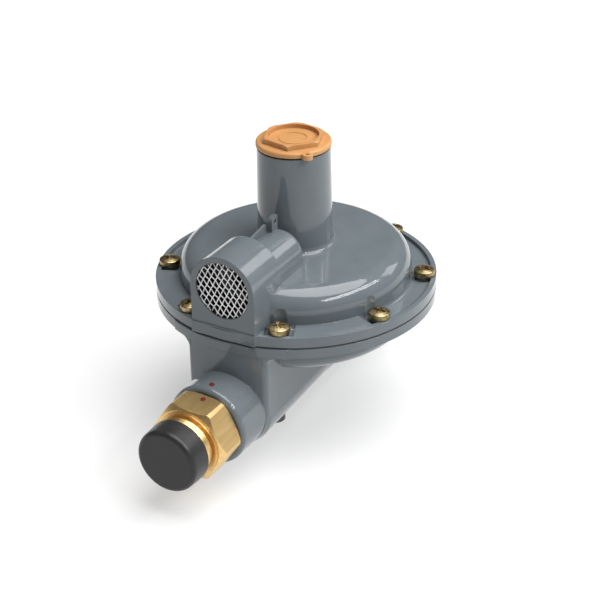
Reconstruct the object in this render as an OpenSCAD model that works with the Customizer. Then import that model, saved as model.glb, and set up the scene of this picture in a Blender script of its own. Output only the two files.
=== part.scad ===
// Low-pressure gas regulator: two bolted castings with a rubber diaphragm between them, a spring
// tower with a sealed cap, a screened vent, and the lever and valve that work inside.
// Millimetres. The origin is the centre of the outlet's mouth. +X is the way the gas leaves and +Z
// is up the tower.

/* [Pipe run] */
// Distance from the tower's axis to the outlet's mouth, and to the inlet boss on the other side
reach = 78; // [77:0.5:84]
// Height of the castings' parting plane above the pipe's axis
rise = 33.9; // [33.6:0.1:36]
// Diameter of the round boss at each end of the pipe run
boss_d = 37; // [36:0.2:37.6]
// Inside diameter of the outlet's pipe thread
outlet_d = 24.12; // [22:0.01:24.2]

/* [Castings] */
// Diameter of the bolted flange
flange_d = 125; // [125:0.5:128]
// Gap between the two flanges, where the rubber is clamped
seam = 0.8; // [0.6:0.1:1.2]
// Wall thickness of the dome and the bowl
wall = 3.2; // [2.8:0.1:3.6]
// Height of the flange's lip above the parting plane
lip_z = 5; // [4.6:0.1:5.4]
// Depth of the channel that the screw heads stand in
channel = 1.6; // [1:0.1:2]
// Number of casing screws
screws = 8; // [6:2:8]

/* [Tower] */
// Height of the tower's rim above the parting plane
tower_h = 64.8; // [64:0.2:76]
// Diameter of the tower at its rim
tower_d = 32; // [31.6:0.2:33]
// Width across the flats of the closing cap
cap_af = 24; // [22:0.5:25]

/* [Vent] */
// Width of the vent's hood
hood_w = 30.8; // [30.4:0.2:31.2]
// Height of the vent's axis above the parting plane
vent_z = 22.8; // [22.4:0.2:24]
// Diameter of the vent's screen
screen_d = 25.6; // [24:0.2:26]
// Distance from strand to strand of the screen
mesh = 2.45; // [2.2:0.05:4]

/* [Inlet] */
// Width across the flats of the inlet's hexagon
hex_af = 32; // [30:0.5:34]
// Outside diameter of the inlet's pipe thread
inlet_d = 26.44; // [26:0.01:26.44]

/* [Valve] */
// Diameter of the hole that the valve disc shuts
orifice_d = 6.4; // [3:0.2:7]
// Rise of the diaphragm from open to shut
stroke = 3.2; // [2.4:0.1:3.2]

/* [Hidden] */
$fn = 96;

// Flange, dome and bowl
half = seam / 2;
flange_r = flange_d / 2;
floor_z = lip_z - channel;
lip_w = 2.2;
under_z = -4.8;
pad_r = flange_r + 0.6;
pad_half_a = 26.3;
dome_bend = 10.1;
dome_bend_r = flange_r - 21.1;
dome_bend_z = 9.3;
dome_slope = 2.5;
bowl_bend = 8.9;
bowl_bend_r = flange_r - 19.3;
bowl_bend_z = -10;
bowl_r = bowl_bend_r + bowl_bend;
bowl_z = bowl_bend_z - bowl_bend;
foot = 2;

// Casing screws: an M5 pan head on a spring washer that lifts it just above the lip
screw_r = 2.5;
head_r = 4.6;
head_h = 3.7;
head_crown = 8;
washer_r = 4.2;
washer_h = channel;
pcd_r = flange_r - 5.3;
step_a = 360 / screws;
pocket_w = 12.4;
scallop_r = 6.4;

// Tower, its thread and what is screwed into it
tower_r = tower_d / 2;
tower_foot_r = tower_r + 0.7;
bore_r = tower_r - 2.8;
seal_h = 0.8;
cap_z = tower_h + seal_h + 0.06;
skirt_z = tower_h - 7;
adjust_z = tower_h - 23;
adjust_h = 8;

// Vent hood, the duct behind it and the fin on its top
hood_r = hood_w / 2;
hood_x = -61.6;
hood_back_x = -39.3;
duct_r = 10.7;
duct_y = duct_r + 0.1 - hood_r;
duct_z = vent_z + 1.2;
duct_x = -18;
duct_bend = 3.5;

// Body under the bowl, round the pipe's axis
boss_r = boss_d / 2;
boss_bend = 2.2;
body_mid_r = boss_r - 1;
body_end_r = boss_r + 1.1;
body_x = pad_r - 0.2;
body_taper = (body_end_r - body_mid_r) / body_x;
body_bend = 2.4;
body_nose = 6;
chamber_r = 13.6;
chamber_x = [-10, 50];
inlet_stop_x = -18;
outlet_r = outlet_d / 2;
outlet_len = 18;
test_x = -21.5;
test_z = 0.8 - body_mid_r + body_taper * test_x;
test_len = 9.9;

// Lever: the pin lies above the pipe's axis, and one arm reaches the post on the tower's axis
pin_r = 1.5;
pin_x = 24;
pin_z = 12.3;
tip_r = 1.2;
pin_screw_x = 28.2;
pin_screw_y = 9.2;
rest_a = asin(stroke / 2 / pin_x);
stem_x = pin_x + pin_z * sin(rest_a);
stem_travel = 2 * pin_z * sin(rest_a);
slot_half = 1.5;
post_slot_z = pin_z - rise - stroke / 2;

// Valve
stem_r = 3;
disc_x = -6.3;
lip_x = disc_x - stem_travel - 0.1;

// Inlet fitting, from the boss outward
inlet_r = inlet_d / 2;
hex_x = [-reach - 14.6, -reach - 0.7];
thread_x = [-reach - 29.4, -reach - 16.6];
cap_skirt_x = -reach - 20.9;

// Springs
main_spring_r = 11;
main_wire_r = 1.1;
main_turns = 7;
relief_spring_r = 5.5;
relief_wire_r = 0.65;
relief_turns = 7;
plate_z = half + 1.5;
hub_z = plate_z + 2.5;
retainer_z = 22;

// Height of the dome's outside at radius r, before the bend, for an outline pulled in by t
function dome_z(r, t) = dome_bend_z + (dome_bend - t) / cos(dome_slope)
    + (dome_bend_r - r) * tan(dome_slope);

// Frame at the tower's axis and the parting plane
module at_tower() {
    translate([-reach, 0, rise]) children();
}

// Frame at the tower's axis and the pipe's axis
module at_pipe() {
    translate([-reach, 0, 0]) children();
}

// Turns an outline about the pipe's axis: its x is the radius and its y the place along +X
module turned_x() {
    rotate([0, 90, 0]) rotate_extrude() children();
}

// Runs an outline along +X from x0 to x1: its x is +Y and its y is +Z
module along_x(x0, x1) {
    translate([x0, 0, 0]) rotate([90, 0, 90]) linear_extrude(x1 - x0) children();
}

// Runs an outline along +Y from y0 to y1: its x is +X and its y is +Z
module along_y(y0, y1) {
    translate([0, y1, 0]) rotate([90, 0, 0]) linear_extrude(y1 - y0) children();
}

// Repeats a shape at each casing screw
module each_screw() {
    for (i = [0:screws - 1]) rotate(step_a * (i + 0.5)) translate([pcd_r, 0, 0]) children();
}

// Hexagon of a given width across flats
module hexagon(af) {
    circle(r = af / sqrt(3), $fn = 6);
}

// Outline with a straight top and a half round bottom, about the pipe's axis
module u_outline(r, top) {
    circle(r);
    translate([-r, 0]) square([2 * r, top]);
}

// Half of the dome's section, pulled in by t
module dome_outline(t) {
    bend = dome_bend - t;
    bend_x = dome_bend_r + bend * sin(dome_slope);
    polygon([[0, 0], [dome_bend_r + bend, 0], [dome_bend_r + bend, dome_bend_z],
        [bend_x, dome_bend_z + bend * cos(dome_slope)], [0, dome_z(0, t)]]);
    translate([dome_bend_r, dome_bend_z]) circle(bend);
}

// Half of the bowl's section, pulled in by t
module bowl_outline(t) {
    bend = bowl_bend - t;
    polygon([[0, 0], [bowl_r - t, 0], [bowl_r - t, bowl_bend_z], [bowl_bend_r, bowl_z + t],
        [0, bowl_z + t]]);
    translate([bowl_bend_r, bowl_bend_z]) circle(bend);
}

// Hollow corner of radius r that fills the angle at the origin, toward +x and +y
module corner(r) {
    difference() {
        translate([-0.5, -0.5]) square(r + 0.5);
        translate([r, r]) circle(r);
    }
}

// Dome with its tower and the hollow corners at the foot of each
module dome() {
    fillet = 2.5;
    fillet_x = tower_foot_r + fillet;
    rotate_extrude() {
        intersection() {
            dome_outline(0);
            translate([0, half]) square(100);
        }
        translate([dome_bend_r + dome_bend, floor_z]) corner(foot);
        polygon([[0, dome_bend_z], [tower_foot_r, dome_bend_z], [tower_foot_r, dome_z(tower_foot_r, 0)],
            [tower_r, tower_h], [0, tower_h]]);
        translate([tower_foot_r, dome_z(fillet_x, 0)]) corner(fillet);
    }
}

// Upper flange: a channel for the screw heads inside a lip, filled up on both sides of the vent
module upper_flange() {
    rotate_extrude() {
        translate([0, half]) square([flange_r, floor_z - half]);
        translate([flange_r - lip_w, half]) square([lip_w, lip_z - half]);
    }
    difference() {
        intersection() {
            translate([0, 0, half]) cylinder(r = flange_r - lip_w / 2, h = lip_z - half);
            linear_extrude(lip_z)
                polygon([[0, 0], for (k = [-1.5:1.5]) 150 * [-cos(step_a * k), sin(step_a * k)]]);
        }
        // square-ended pockets that the screw heads stand in
        translate([0, 0, floor_z]) each_screw()
            translate([-15, -pocket_w / 2, 0]) cube([flange_r - lip_w - pcd_r + 15, pocket_w, 20]);
    }
}

// Hood with a flat arched face, and the pad at its foot
module vent_hood() {
    along_x(hood_x, hood_back_x) {
        translate([0, vent_z]) circle(hood_r);
        translate([-hood_r, half]) square([hood_w, vent_z - half]);
    }
    translate([hood_x - 0.5, -hood_r, half]) cube([3, hood_w, 5.7 - half]);
}

// Duct from the hood to the tower, narrower and set to one side
module vent_duct() {
    length = duct_x - hood_back_x + 3;
    translate([duct_x - length, duct_y, duct_z]) turned_x() {
        square([duct_r, length - duct_bend]);
        square([duct_r - duct_bend, length]);
        translate([duct_r - duct_bend, length - duct_bend]) intersection() {
            circle(duct_bend);
            square(duct_bend);
        }
    }
    translate([duct_x - length, duct_y, dome_bend_z]) linear_extrude(duct_z - dome_bend_z) {
        translate([0, 0.2 - duct_r]) square([length - duct_bend, 2 * duct_r - 0.4]);
        translate([0, 0.2 + duct_bend - duct_r]) square([length, 2 * (duct_r - duct_bend) - 0.4]);
        for (s = [-1, 1])
            translate([length - duct_bend, s * (duct_r - duct_bend - 0.2)]) circle(duct_bend);
    }
}

// Fin along the duct's top, and beside it the lug with an eye for a seal wire
module seal_fin() {
    along_y(-0.6, 0.4) polygon([[hood_back_x - 2, 30], [hood_back_x - 2, 36.6], [-26.4, 38.6],
        [-25.6, 37.8], [-25.6, 30]]);
    along_y(-3, -0.8) difference() {
        union() {
            translate([-24.8, 30]) square([4.7, 9.2]);
            translate([-22.8, 30]) square([2.7, 11.2]);
            translate([-22.8, 39.2]) circle(2);
        }
        translate([-22.2, 38.7]) circle(0.9);
    }
}

// Way for air from the screen to the spring's space
module vent_passage() {
    translate([hood_x - 1, 0, vent_z]) rotate([0, 90, 0]) cylinder(r = screen_d / 2, h = 3);
    translate([hood_x, 0, vent_z]) rotate([0, 90, 0]) cylinder(r = screen_d / 2 - 1, h = 9);
    translate([hood_x, duct_y, duct_z]) rotate([0, 90, 0]) cylinder(r = 5.2, h = -26 - hood_x);
    translate([-30, duct_y, dome_bend_z]) cylinder(r = 4.5, h = duct_z - dome_bend_z);
}

module upper_case() {
    color("slategray") at_tower() difference() {
        union() {
            difference() {
                dome();
                translate([0, 0, floor_z]) each_screw() cylinder(r = scallop_r, h = 9);
            }
            upper_flange();
            vent_hood();
            vent_duct();
            seal_fin();
        }
        rotate_extrude() dome_outline(wall);
        translate([0, 0, dome_bend_z]) cylinder(r = bore_r, h = tower_h);
        vent_passage();
        // seats for the washers, which also cut the lip a little
        translate([0, 0, floor_z]) each_screw() cylinder(r = washer_r + 0.15, h = lip_z);
        each_screw() cylinder(r = screw_r + 0.05, h = 20, center = true);
    }
}

// Plan of the body under the bowl: sides that draw in to the middle, ends that follow the flange
module body_plan() {
    // centre of a rounded corner, at its radius from the side and from the end
    k = body_taper;
    slant = sqrt(1 + k * k);
    side_y = body_mid_r - body_bend * slant;
    end_r = body_x - body_bend;
    corner_x = (sqrt(end_r * end_r * (1 + k * k) - side_y * side_y) - k * side_y) / (1 + k * k);
    corner_y = side_y + k * corner_x;
    // where the rounded corner meets the side
    side = [corner_x - k * body_bend / slant, corner_y + body_bend / slant];
    polygon([side, [0, body_mid_r], [-side.x, side.y], -side, [0, -body_mid_r], [side.x, -side.y]]);
    for (s = [-1, 1]) intersection() {
        circle(body_x);
        polygon([[0, 0], 2 * [s * corner_x, corner_y], 2 * [s * corner_x, -corner_y]]);
    }
    // the corners stand 0.02 proud, so they cross the side and the end instead of touching them
    for (sx = [-1, 1], sy = [-1, 1])
        translate([sx * corner_x, sy * corner_y]) circle(body_bend + 0.02);
}

// Body under the bowl, about the pipe's axis: half round below, straight above
module body() {
    // the round is a little wider than the plan, so the sides cut it cleanly
    mid_r = body_mid_r + 0.15;
    nose_x = body_x - body_nose;
    nose_r = mid_r + body_taper * nose_x;
    // each end draws in again and runs out in the boss
    tip_r = boss_r - 0.3;
    intersection() {
        union() {
            turned_x() polygon([[0, -body_x], [tip_r, -body_x], [nose_r, -nose_x], [mid_r, 0],
                [nose_r, nose_x], [tip_r, body_x], [0, body_x]]);
            linear_extrude(rise + under_z + 1) square([2 * body_x, 4 * body_end_r], center = true);
        }
        translate([0, 0, -50]) linear_extrude(100) body_plan();
    }
}

// Round boss at one end of the pipe run, along +X
module end_boss() {
    // it starts inside the wide end of the body, clear of the narrow middle
    root = body_x - 2 * body_nose;
    turned_x() {
        translate([0, root]) {
            square([boss_r, reach - boss_bend - root]);
            square([boss_r - boss_bend, reach - root]);
        }
        translate([boss_r - boss_bend, reach - boss_bend]) circle(boss_bend);
    }
}

// Outside of the lower casting
module lower_outside() {
    rotate_extrude() {
        translate([0, under_z]) square([flange_r, -under_z - half]);
        intersection() {
            bowl_outline(0);
            translate([0, -100 - half]) square(100);
        }
        translate([bowl_r, under_z]) mirror([0, 1]) corner(foot);
    }
    translate([0, 0, under_z]) rotate(180 - pad_half_a)
        rotate_extrude(angle = 2 * pad_half_a) square([pad_r, -under_z - half]);
    translate([0, 0, -rise]) {
        body();
        end_boss();
        rotate(180) end_boss();
    }
}

// Space for the gas, seen from the pipe's axis
module gas_space() {
    along_x(chamber_x[0], chamber_x[1]) u_outline(chamber_r, rise + bowl_z + wall + 1);
    rotate([0, 90, 0]) {
        translate([0, 0, reach - outlet_len]) cylinder(r = outlet_r, h = outlet_len + 1);
        cylinder(r = 10.5, h = reach);
        translate([0, 0, -reach - 1]) cylinder(r = inlet_r + 0.03, h = 17.5);
        translate([0, 0, -reach]) cylinder(r = 9, h = reach + inlet_stop_x);
        translate([0, 0, inlet_stop_x - 1]) cylinder(r = 7.05, h = 20);
        translate([0, 0, -reach - 0.01])
            cylinder(r1 = inlet_r + 1.8, r2 = inlet_r, h = 1.8);
    }
    // test point: its small hole, its thread and the flat it seats on
    translate([test_x, 0, test_z]) {
        cylinder(r = 1.2, h = -test_z);
        cylinder(r = 3.25, h = 7);
        translate([0, 0, -3]) cylinder(r = 5.4, h = 3);
    }
}

// Web that guides the stem and the two ledges that carry the lever's pin
module inner_webs() {
    difference() {
        translate([9, -6, -chamber_r - 1]) cube([6, 12, chamber_r + 7]);
        translate([8, 0, 0]) rotate([0, 90, 0]) cylinder(r = stem_r + 0.05, h = 8);
    }
    for (s = [-1, 1]) difference() {
        scale([1, s, 1]) along_y(6.9, chamber_r + 1) polygon([[18, 8], [22, 4], [34, 4],
            [34, pin_z + pin_r], [pin_x + pin_r, pin_z + pin_r], [pin_x + pin_r, pin_z], [18, pin_z]]);
        translate([pin_x, 0, pin_z]) rotate([90, 0, 0])
            cylinder(r = pin_r + 0.02, h = 40, center = true);
        translate([pin_screw_x, pin_screw_y * s, 0]) cylinder(r = 1.55, h = 20);
    }
}

module lower_case() {
    color("slategray") at_tower() {
        difference() {
            lower_outside();
            rotate_extrude() bowl_outline(wall);
            translate([0, 0, -rise]) gas_space();
            each_screw() cylinder(r = screw_r + 0.05, h = 20, center = true);
        }
        translate([0, 0, -rise]) inner_webs();
    }
}

// One casing screw with a crosswise recess; z = 0 is the underside of its head
module case_screw() {
    shank = washer_h + floor_z - under_z + 0.8;
    difference() {
        union() {
            rotate_extrude() intersection() {
                translate([0, 0.02]) square([head_r, head_h]);
                translate([0, head_h - head_crown]) circle(head_crown);
            }
            translate([0, 0, -shank]) cylinder(r = screw_r, h = shank + 1);
        }
        for (a = [0, 90]) rotate(a) translate([-2.6, -0.55, head_h - 1.5]) cube([5.2, 1.1, 3]);
    }
}

module case_screws() {
    color("goldenrod") at_tower() translate([0, 0, floor_z + washer_h]) each_screw()
        rotate(20) case_screw();
}

// Split spring washers under the heads
module screw_washers() {
    color("dimgray") at_tower() translate([0, 0, floor_z + 0.02]) each_screw() difference() {
        cylinder(r = washer_r, h = washer_h - 0.04);
        translate([0, 0, -1]) cylinder(r = screw_r + 0.1, h = washer_h + 2);
        rotate(110) translate([0, -0.35, -1]) cube([10, 0.7, washer_h + 2]);
    }
}

// Places a shape at the cap's ear
module at_ear() {
    rotate(229) translate([tower_r + 1.6, 0, 0]) children();
}

// Cap with a sunk hexagon on top, an ear for a seal wire and a hollow threaded skirt
module closing_cap() {
    rim = 2.2;
    top = 4.5;
    corner_r = cap_af / sqrt(3);
    color("sandybrown") at_tower() translate([0, 0, cap_z]) difference() {
        union() {
            rotate_extrude() {
                square([tower_r - 0.7, rim]);
                square([tower_r + 0.4, rim / 2]);
                translate([tower_r + 0.4 - rim / 2, rim / 2]) circle(rim / 2);
            }
            rotate(19) intersection() {
                linear_extrude(top) hexagon(cap_af);
                rotate_extrude() polygon([[0, 0], [corner_r + 1, 0], [corner_r + 1, top - 1.2],
                    [corner_r - 1, top], [0, top]]);
            }
            translate([0, 0, skirt_z - cap_z]) cylinder(r = bore_r - 0.1, h = cap_z - skirt_z + 1);
            at_ear() cylinder(r = 2.3, h = rim);
        }
        translate([0, 0, 2.6]) cylinder(r = cap_af / 2 - 1, h = 3);
        translate([0, 0, skirt_z - cap_z - 1]) cylinder(r = bore_r - 2.6, h = cap_z - skirt_z + 1.4);
        at_ear() translate([0, 0, -1]) cylinder(r = 0.8, h = 5);
    }
}

// Flat ring between the tower's rim and the cap
module cap_seal() {
    color("black") at_tower() rotate_extrude()
        translate([bore_r + 0.3, tower_h + 0.03]) square([tower_r - bore_r - 0.7, seal_h]);
}

// Threaded disc with a hexagon socket and two breather holes
module adjusting_screw() {
    color("silver") at_tower() translate([0, 0, adjust_z]) difference() {
        cylinder(r = bore_r - 0.05, h = adjust_h);
        translate([0, 0, 3]) linear_extrude(adjust_h) hexagon(10);
        translate([0, 0, -1]) cylinder(r = 3.5, h = 10);
        for (s = [-1, 1]) translate([9 * s, 0, -1]) cylinder(r = 1.3, h = adjust_h + 2);
    }
}

// Wire coil: rings of six points, eight rings a turn, joined by triangles
function ring(r, w, z, a) = [for (k = [0:5])
    [(r + w * cos(60 * k)) * cos(a), (r + w * cos(60 * k)) * sin(a), z + w * sin(60 * k)]];

module coil(r, w, turns, z0, z1) {
    n = turns * 8;
    pts = [for (i = [0:n]) each ring(r, w, z0 + w + (z1 - z0 - 2 * w) * i / n, 45 * i)];
    skin = [for (i = [0:n - 1], k = [0:5]) let (a = 6 * i + k, b = 6 * i + (k + 1) % 6)
        each [[a, a + 6, b], [b, a + 6, b + 6]]];
    first = [for (k = [1:4]) [0, k, k + 1]];
    last = [for (k = [1:4]) [6 * n, 6 * n + k + 1, 6 * n + k]];
    gap = min([for (i = [5:n], k = [0:5], m = [0:5]) norm(pts[k] - pts[6 * i + m])]);
    echo("least gap between turns", gap);
    polyhedron(pts, concat(skin, first, last));
}

module main_spring() {
    color("dimgray") at_tower()
        coil(main_spring_r, main_wire_r, main_turns, plate_z + 0.1, adjust_z - 0.1);
}

// Rubber sheet clamped between the flanges, with one rolled fold
module diaphragm() {
    t = half - 0.02;
    fold_r = bowl_r - 10;
    color("black") at_tower() difference() {
        rotate_extrude() {
            translate([3.3, -t]) square([fold_r - 4 + t - 3.3, 2 * t]);
            translate([fold_r + 4 - t, -t]) square([flange_r - 0.5 - fold_r - 4 + t, 2 * t]);
            intersection() {
                translate([fold_r, 0]) difference() {
                    circle(4 + t);
                    circle(4 - t);
                }
                translate([fold_r - 10, -t]) square(20);
            }
        }
        each_screw() cylinder(r = screw_r + 0.3, h = 9, center = true);
    }
}

// Dished plate that spreads the spring's load, with a hub that keeps both springs central
module diaphragm_plate() {
    color("silver") at_tower() rotate_extrude() {
        translate([3.3, half]) square([31.7, plate_z - half]);
        translate([33.5, half]) square([1.5, 3.6]);
        translate([3.3, half]) square([5.8, hub_z - half]);
    }
}

// Post through the diaphragm: relief seat under the rubber, slotted foot for the lever
module pusher_post() {
    foot_r = 4.5;
    color("gray") at_tower() difference() {
        rotate_extrude() {
            translate([0, post_slot_z - slot_half - 1.9]) square([foot_r, 8]);
            translate([0, post_slot_z]) square([stem_r, 29.5 - post_slot_z]);
            translate([0, -3.6]) square([14, 2.4]);
            translate([9, -3]) square([1.5, 3 - half - 0.1]);
        }
        translate([-10, -2.3, post_slot_z - slot_half]) cube([20, 4.6, 2 * slot_half]);
    }
}

module relief_spring() {
    color("dimgray") at_tower()
        coil(relief_spring_r, relief_wire_r, relief_turns, hub_z + 0.1, retainer_z - 0.1);
}

// Nut and spring seat in one, on the post's upper end
module relief_retainer() {
    color("goldenrod") at_tower() translate([0, 0, retainer_z]) difference() {
        union() {
            cylinder(r = 7.5, h = 1.6);
            linear_extrude(5.4) hexagon(10);
        }
        translate([0, 0, -1]) cylinder(r = stem_r + 0.03, h = 9);
    }
}

// Bell-crank lever, drawn tip down as it stands with the valve open
module lever() {
    color("silver") at_pipe() translate([pin_x, 0, pin_z]) rotate([0, -rest_a, 0]) difference() {
        union() {
            along_y(-5, 5) circle(3.4);
            along_y(-2, 2) {
                polygon([[-pin_x, -1], [-pin_x, 1], [-14, 1], [-6, 3.2], [0, 3.4], [0, -3.4], [-6, -2],
                    [-14, -1]]);
                translate([-pin_x, 0]) circle(tip_r);
                polygon([[-1, -pin_z], [1, -pin_z], [1, -8], [3.2, -2], [-3.2, -2], [-1, -8]]);
                translate([0, -pin_z]) circle(tip_r);
            }
        }
        rotate([90, 0, 0]) cylinder(r = pin_r + 0.05, h = 20, center = true);
    }
}

module lever_pin() {
    color("silver") at_pipe() translate([pin_x, 0, pin_z]) rotate([90, 0, 0])
        cylinder(r = pin_r, h = 2 * chamber_r - 0.8, center = true);
}

// Two screws whose heads hold the pin down on its ledges
module pin_screws() {
    color("silver") at_pipe() for (s = [-1, 1])
        translate([pin_screw_x, pin_screw_y * s, pin_z + pin_r]) difference() {
            union() {
                translate([0, 0, 0.03]) cylinder(r = 3.9, h = 2.4);
                translate([0, 0, -8]) cylinder(r = 1.5, h = 9);
            }
            translate([-5, -0.5, 1.6]) cube([10, 1, 3]);
        }
}

// Stem with a slot for the lever at one end and a cup for the disc at the other
module valve_stem() {
    color("goldenrod") at_pipe() difference() {
        turned_x() {
            translate([0, disc_x + 2]) square([stem_r, stem_x + 5 - disc_x - 2]);
            translate([0, stem_x - 4.8]) square([4, 9.6]);
            translate([0, disc_x + 1.3]) square([6.5, 4]);
        }
        translate([stem_x - slot_half, -2.3, -2]) cube([2 * slot_half, 4.6, 10]);
        translate([disc_x - 1, 0, 0]) rotate([0, 90, 0]) cylinder(r = 5.65, h = 4.3);
    }
}

module valve_disc() {
    color("black") at_pipe() turned_x() translate([0, disc_x]) square([5.6, 3.27]);
}

// Screwed-in orifice with a hexagon and a raised lip for the disc
module orifice() {
    color("goldenrod") at_pipe() difference() {
        union() {
            turned_x() {
                translate([0, inlet_stop_x]) square([7, lip_x - inlet_stop_x - 0.8]);
                polygon([[0, lip_x - 1], [orifice_d / 2 + 1.8, lip_x - 1], [orifice_d / 2 + 0.6, lip_x],
                    [0, lip_x]]);
            }
            translate([chamber_x[0] + 0.03, 0, 0]) rotate([0, 90, 0])
                linear_extrude(lip_x - chamber_x[0] - 0.8) hexagon(16);
        }
        translate([-30, 0, 0]) rotate([0, 90, 0]) cylinder(r = orifice_d / 2, h = 40);
    }
}

// Brass nipple: plain shank in the boss, hexagon, collar, undercut and the thread for the supply
module inlet_fitting() {
    corner_r = hex_af / sqrt(3) - 0.5;
    color("goldenrod") at_pipe() difference() {
        union() {
            turned_x() {
                translate([0, hex_x[0]]) square([inlet_r, 16.3 - reach - hex_x[0]]);
                translate([0, hex_x[0] - 0.8]) square([14.6, 2]);
                translate([0, thread_x[1] - 1]) square([inlet_r - 1.1, hex_x[0] - thread_x[1] + 2]);
                polygon([[0, thread_x[0]], [inlet_r - 1, thread_x[0]], [inlet_r, thread_x[0] + 1],
                    [inlet_r, thread_x[1]], [0, thread_x[1]]]);
            }
            intersection() {
                translate([hex_x[0], 0, 0]) rotate([0, 90, 0]) rotate(34)
                    linear_extrude(hex_x[1] - hex_x[0]) hexagon(hex_af);
                turned_x() polygon([[0, hex_x[0]], [hex_af / 2 - 0.6, hex_x[0]],
                    [corner_r, hex_x[0] + 1.7], [corner_r, hex_x[1] - 1],
                    [hex_af / 2 + 0.4, hex_x[1]], [0, hex_x[1]]]);
            }
        }
        translate([-150, 0, 0]) rotate([0, 90, 0]) cylinder(r = 9, h = 150);
    }
}

// Soft cap pushed on for transport: a skirt over the thread and a plug in the bore
module dust_cap() {
    end_x = thread_x[0] - 0.4;
    face_x = end_x - 1.4;
    edge = 2.2;
    back_r = inlet_r + 1.23;
    front_r = inlet_r + 0.93;
    color("black") at_pipe() turned_x() difference() {
        union() {
            polygon([[0, face_x], [front_r - edge, face_x], [front_r, face_x + edge],
                [back_r, cap_skirt_x], [0, cap_skirt_x]]);
            translate([front_r - edge, face_x + edge]) circle(edge);
        }
        polygon([[8.95, end_x], [inlet_r - 0.5, end_x], [inlet_r + 0.6, end_x + 1.1],
            [inlet_r + 0.6, end_x + 30], [8.95, end_x + 30]]);
        translate([0, end_x]) square([7.8, 30]);
        translate([0, end_x + 7]) square([10, 30]);
    }
}

// Net of slanting strands inside a thin rim
module vent_screen() {
    r = screen_d / 2 - 0.05;
    n = ceil(screen_d / mesh / 2);
    color("gainsboro") at_tower() translate([hood_x + 1.4, 0, vent_z]) rotate([90, 0, -90])
        linear_extrude(0.5) {
            difference() {
                circle(r);
                circle(r - 0.5);
            }
            intersection() {
                circle(r - 0.2);
                for (a = [-46, 62], i = [-n:n])
                    rotate(a) translate([0, i * mesh]) square([60, 0.6], center = true);
            }
        }
}

// Nipple for a pressure gauge, under the inlet
module test_nipple() {
    color("gray") at_pipe() translate([test_x, 0, test_z]) difference() {
        union() {
            translate([0, 0, -test_len]) cylinder(r = 4.7, h = test_len - 0.02);
            translate([0, 0, -1]) cylinder(r = 3.2, h = 7.5);
        }
        translate([0, 0, -test_len - 1]) cylinder(r = 1.2, h = 30);
        translate([0, 0, -test_len - 1]) cylinder(r = 2.05, h = 7);
    }
}

// Screw that shuts the nipple
module nipple_screw() {
    color("silver") at_pipe() translate([test_x, 0, test_z - test_len - 0.3]) difference() {
        cylinder(r = 2, h = 6);
        translate([-5, -0.4, -1]) cube([10, 0.8, 2]);
    }
}

upper_case();
lower_case();
case_screws();
screw_washers();
closing_cap();
cap_seal();
adjusting_screw();
main_spring();
diaphragm();
diaphragm_plate();
pusher_post();
relief_spring();
relief_retainer();
lever();
lever_pin();
pin_screws();
valve_stem();
valve_disc();
orifice();
inlet_fitting();
dust_cap();
vent_screen();
test_nipple();
nipple_screw();
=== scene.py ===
"""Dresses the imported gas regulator: paint, brass, zinc and plastic, threads, screws, net, springs.

Lengths in the tables below are millimetres, as in the part's source, and MM turns them into metres.
The camera, the floor and the lamps are in metres. Angles are in degrees. Heights that aren't along
the pipe count from the parting plane between the castings.
"""

import math
from collections import namedtuple

import bmesh
import bpy
from mathutils import Matrix, Vector
from mathutils.bvhtree import BVHTree
from mathutils.geometry import barycentric_transform


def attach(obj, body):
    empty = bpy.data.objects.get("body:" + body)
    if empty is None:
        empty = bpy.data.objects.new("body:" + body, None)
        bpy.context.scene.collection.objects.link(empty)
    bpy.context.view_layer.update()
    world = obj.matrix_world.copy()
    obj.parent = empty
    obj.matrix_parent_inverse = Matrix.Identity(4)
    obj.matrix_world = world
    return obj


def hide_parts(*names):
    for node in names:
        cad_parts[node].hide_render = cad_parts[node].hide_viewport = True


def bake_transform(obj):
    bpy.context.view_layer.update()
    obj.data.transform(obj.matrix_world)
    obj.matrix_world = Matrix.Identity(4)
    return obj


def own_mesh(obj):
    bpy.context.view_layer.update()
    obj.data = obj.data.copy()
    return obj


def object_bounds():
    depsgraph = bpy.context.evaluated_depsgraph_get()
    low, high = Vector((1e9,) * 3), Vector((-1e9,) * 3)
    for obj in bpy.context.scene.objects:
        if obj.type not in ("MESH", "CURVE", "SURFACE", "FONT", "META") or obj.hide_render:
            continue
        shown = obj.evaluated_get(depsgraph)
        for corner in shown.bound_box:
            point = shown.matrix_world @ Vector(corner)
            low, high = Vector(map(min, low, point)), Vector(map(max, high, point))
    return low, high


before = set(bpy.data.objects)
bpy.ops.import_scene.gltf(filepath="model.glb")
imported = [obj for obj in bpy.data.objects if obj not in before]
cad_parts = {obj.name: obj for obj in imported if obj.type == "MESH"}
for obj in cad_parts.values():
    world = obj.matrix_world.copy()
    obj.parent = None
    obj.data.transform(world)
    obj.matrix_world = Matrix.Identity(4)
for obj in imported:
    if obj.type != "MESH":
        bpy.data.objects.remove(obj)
cad_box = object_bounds()

MM = 0.001
NOWHERE = Matrix.Identity(4)

# Camera of the photograph, on the inlet's side and above
CAMERA_PLACE = (-0.649125, -0.331607, 0.381471)
CAMERA_AZIMUTH, CAMERA_ELEVATION, CAMERA_ROLL = -59.992, 28.482, -1.032
CAMERA_LENS, CAMERA_SENSOR, CAMERA_CLIP = 100, 36, (0.05, 20)

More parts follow.
